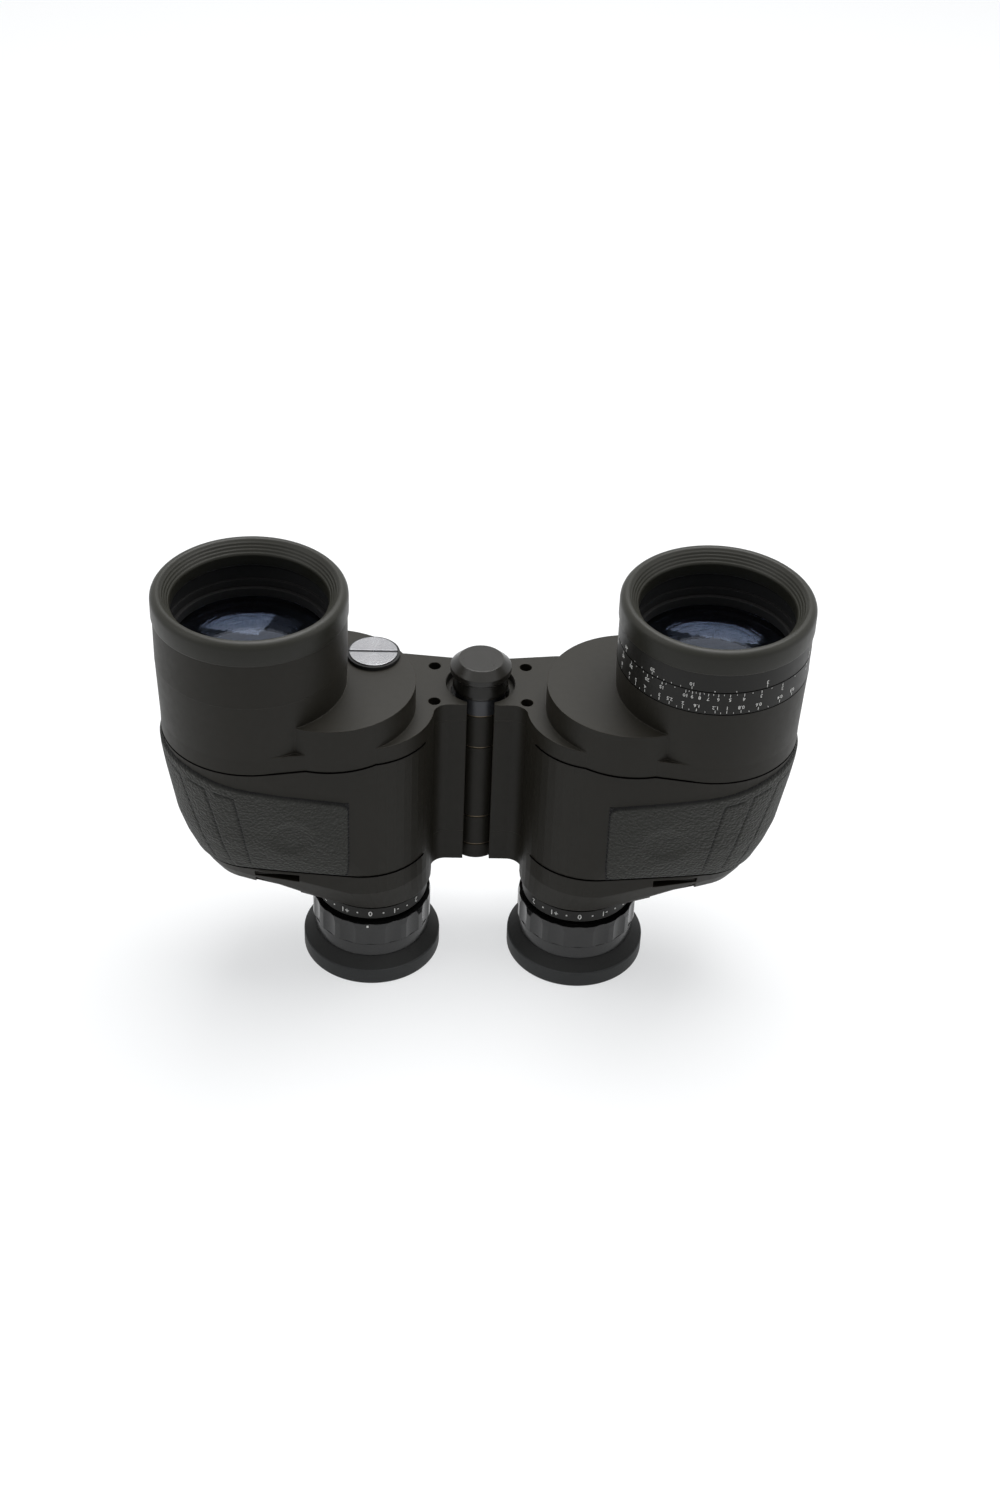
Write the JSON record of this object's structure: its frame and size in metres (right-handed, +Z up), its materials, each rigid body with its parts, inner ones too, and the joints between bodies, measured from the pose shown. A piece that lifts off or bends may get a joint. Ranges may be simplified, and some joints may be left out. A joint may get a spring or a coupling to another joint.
{
  "type": "binoculars",
  "caption": "Wide-bodied porro-prism binoculars with individually focused eyepieces, a ranging ring on one barrel and a capped tripod socket on the hinge.",
  "frame": {"origin": "on the table under the hinge plane, in the plane of the four optical axes, midway between the halves", "axes": "+Z up along the optical axes towards the objectives, +X to the half with the ranging ring, -Y to the side with the strap slots"},
  "size_m": [0.2054, 0.061, 0.1439],
  "materials": {
    "olive_casting": "matt olive-brown wrinkle-free armour paint, slightly worn at the edges",
    "rim_coat": "satin olive-black coat",
    "baffle_black": "dead matt anti-reflection black",
    "anodised_black": "satin black anodised",
    "gloss_black": "glossy black enamel",
    "scale_black": "satin black with white filled engraving",
    "screw_black": "blackened steel",
    "cap_black": "satin olive-black",
    "coated_glass": "blue-grey anti-reflection coating",
    "eye_glass": "faint green-violet coating",
    "clear_glass": "polished optical glass",
    "grip_rubber": "grained leather-look rubber",
    "cup_rubber": "soft matt rubber",
    "seal_rubber": "smooth nitrile rubber",
    "spring_steel": "bright steel",
    "grey_metal": "grey anodised",
    "satin_silver": "satin turned silver",
    "cell_steel": "nickel plated",
    "spring_brass": "bare brass",
    "lamp_red": "clear red epoxy"
  },
  "bodies": {
    "left_half": {"left_objective_cover": "olive_casting", "left_prism_housing": "olive_casting", "left_eyepiece_cover": "olive_casting", "left_rim_ring": "rim_coat", "left_lens_cell": "baffle_black", "left_crown_lens": "coated_glass", "left_flint_lens": "clear_glass", "left_lens_retainer": "baffle_black", "left_upper_prism": "clear_glass", "left_lower_prism": "clear_glass", "left_prism_shelf": "baffle_black", "left_prism_clips": "spring_steel", "left_grip_pad": "grip_rubber", "left_scale_ring": "scale_black", "left_cover_screws": "screw_black", "reticle_glass": "clear_glass", "reticle_lamp": "lamp_red", "battery_holder": "baffle_black", "battery_cell": "cell_steel", "battery_spring": "spring_brass", "hinge_shaft": "spring_steel", "hinge_washers": "spring_brass", "hinge_end_cap": "olive_casting", "tripod_bush": "grey_metal"},
    "right_half": {"right_objective_cover": "olive_casting", "right_prism_housing": "olive_casting", "right_eyepiece_cover": "olive_casting", "right_rim_ring": "rim_coat", "right_lens_cell": "baffle_black", "right_crown_lens": "coated_glass", "right_flint_lens": "clear_glass", "right_lens_retainer": "baffle_black", "right_upper_prism": "clear_glass", "right_lower_prism": "clear_glass", "right_prism_shelf": "baffle_black", "right_prism_clips": "spring_steel", "right_grip_pad": "grip_rubber", "right_scale_ring": "scale_black", "right_cover_screws": "screw_black", "range_scale": "scale_black"},
    "left_ocular": {"left_ocular_tube": "anodised_black", "left_field_lens": "clear_glass", "left_eye_lens": "eye_glass", "left_ocular_retainers": "baffle_black", "left_focus_seal": "seal_rubber"},
    "right_ocular": {"right_ocular_tube": "anodised_black", "right_field_lens": "clear_glass", "right_eye_lens": "eye_glass", "right_ocular_retainers": "baffle_black", "right_focus_seal": "seal_rubber"},
    "left_focus": {"left_focus_ring": "gloss_black", "left_eyecup": "cup_rubber"},
    "right_focus": {"right_focus_ring": "gloss_black", "right_eyecup": "cup_rubber"},
    "ranging": {"ranging_ring": "scale_black"},
    "battery_seal_ring": {"battery_seal": "seal_rubber"},
    "battery_lid": {"battery_cap": "satin_silver"},
    "tripod_seal_ring": {"tripod_seal": "seal_rubber"},
    "tripod_lid": {"tripod_cap": "cap_black"}
  },
  "joints": [
    {"name": "interpupillary_hinge", "type": "hinge", "parent": "left_half", "child": "right_half", "pos_m": [0, 0.0127, 0.065], "axis": [0, 0, 1], "range_deg": [-32, 28]},
    {"name": "left_ocular_slide", "type": "slide", "parent": "left_half", "child": "left_ocular", "axis": [0, 0, 1], "range_m": [-0.00167, 0.00167]},
    {"name": "left_focus_turn", "type": "hinge", "parent": "left_ocular", "child": "left_focus", "pos_m": [-0.0346, 0, 0.015], "axis": [0, 0, 1], "range_deg": [-100, 100]},
    {"name": "right_ocular_slide", "type": "slide", "parent": "right_half", "child": "right_ocular", "axis": [0, 0, 1], "range_m": [-0.00167, 0.00167]},
    {"name": "right_focus_turn", "type": "hinge", "parent": "right_ocular", "child": "right_focus", "pos_m": [0.0346, 0, 0.015], "axis": [0, 0, 1], "range_deg": [-100, 100]},
    {"name": "ranging_ring_turn", "type": "hinge", "parent": "right_half", "child": "ranging", "pos_m": [0.0722, 0, 0.125], "axis": [0, 0, 1], "continuous": true},
    {"name": "battery_cap_lift", "type": "slide", "parent": "left_half", "child": "battery_seal_ring", "axis": [0, 0, 1], "range_m": [0, 0.012]},
    {"name": "battery_cap_turn", "type": "hinge", "parent": "battery_seal_ring", "child": "battery_lid", "pos_m": [-0.0345, 0.0135, 0.11], "axis": [0, 0, 1], "continuous": true},
    {"name": "tripod_cap_lift", "type": "slide", "parent": "left_half", "child": "tripod_seal_ring", "axis": [0, 0, 1], "range_m": [0, 0.045]},
    {"name": "tripod_cap_turn", "type": "hinge", "parent": "tripod_seal_ring", "child": "tripod_lid", "pos_m": [0, 0.0127, 0.105], "axis": [0, 0, 1], "continuous": true}
  ],
  "couplings": [
    {"joint": "left_ocular_slide", "follows": "left_focus_turn", "m_per_rad": 0.00095493},
    {"joint": "right_ocular_slide", "follows": "right_focus_turn", "m_per_rad": 0.00095493}
  ]
}
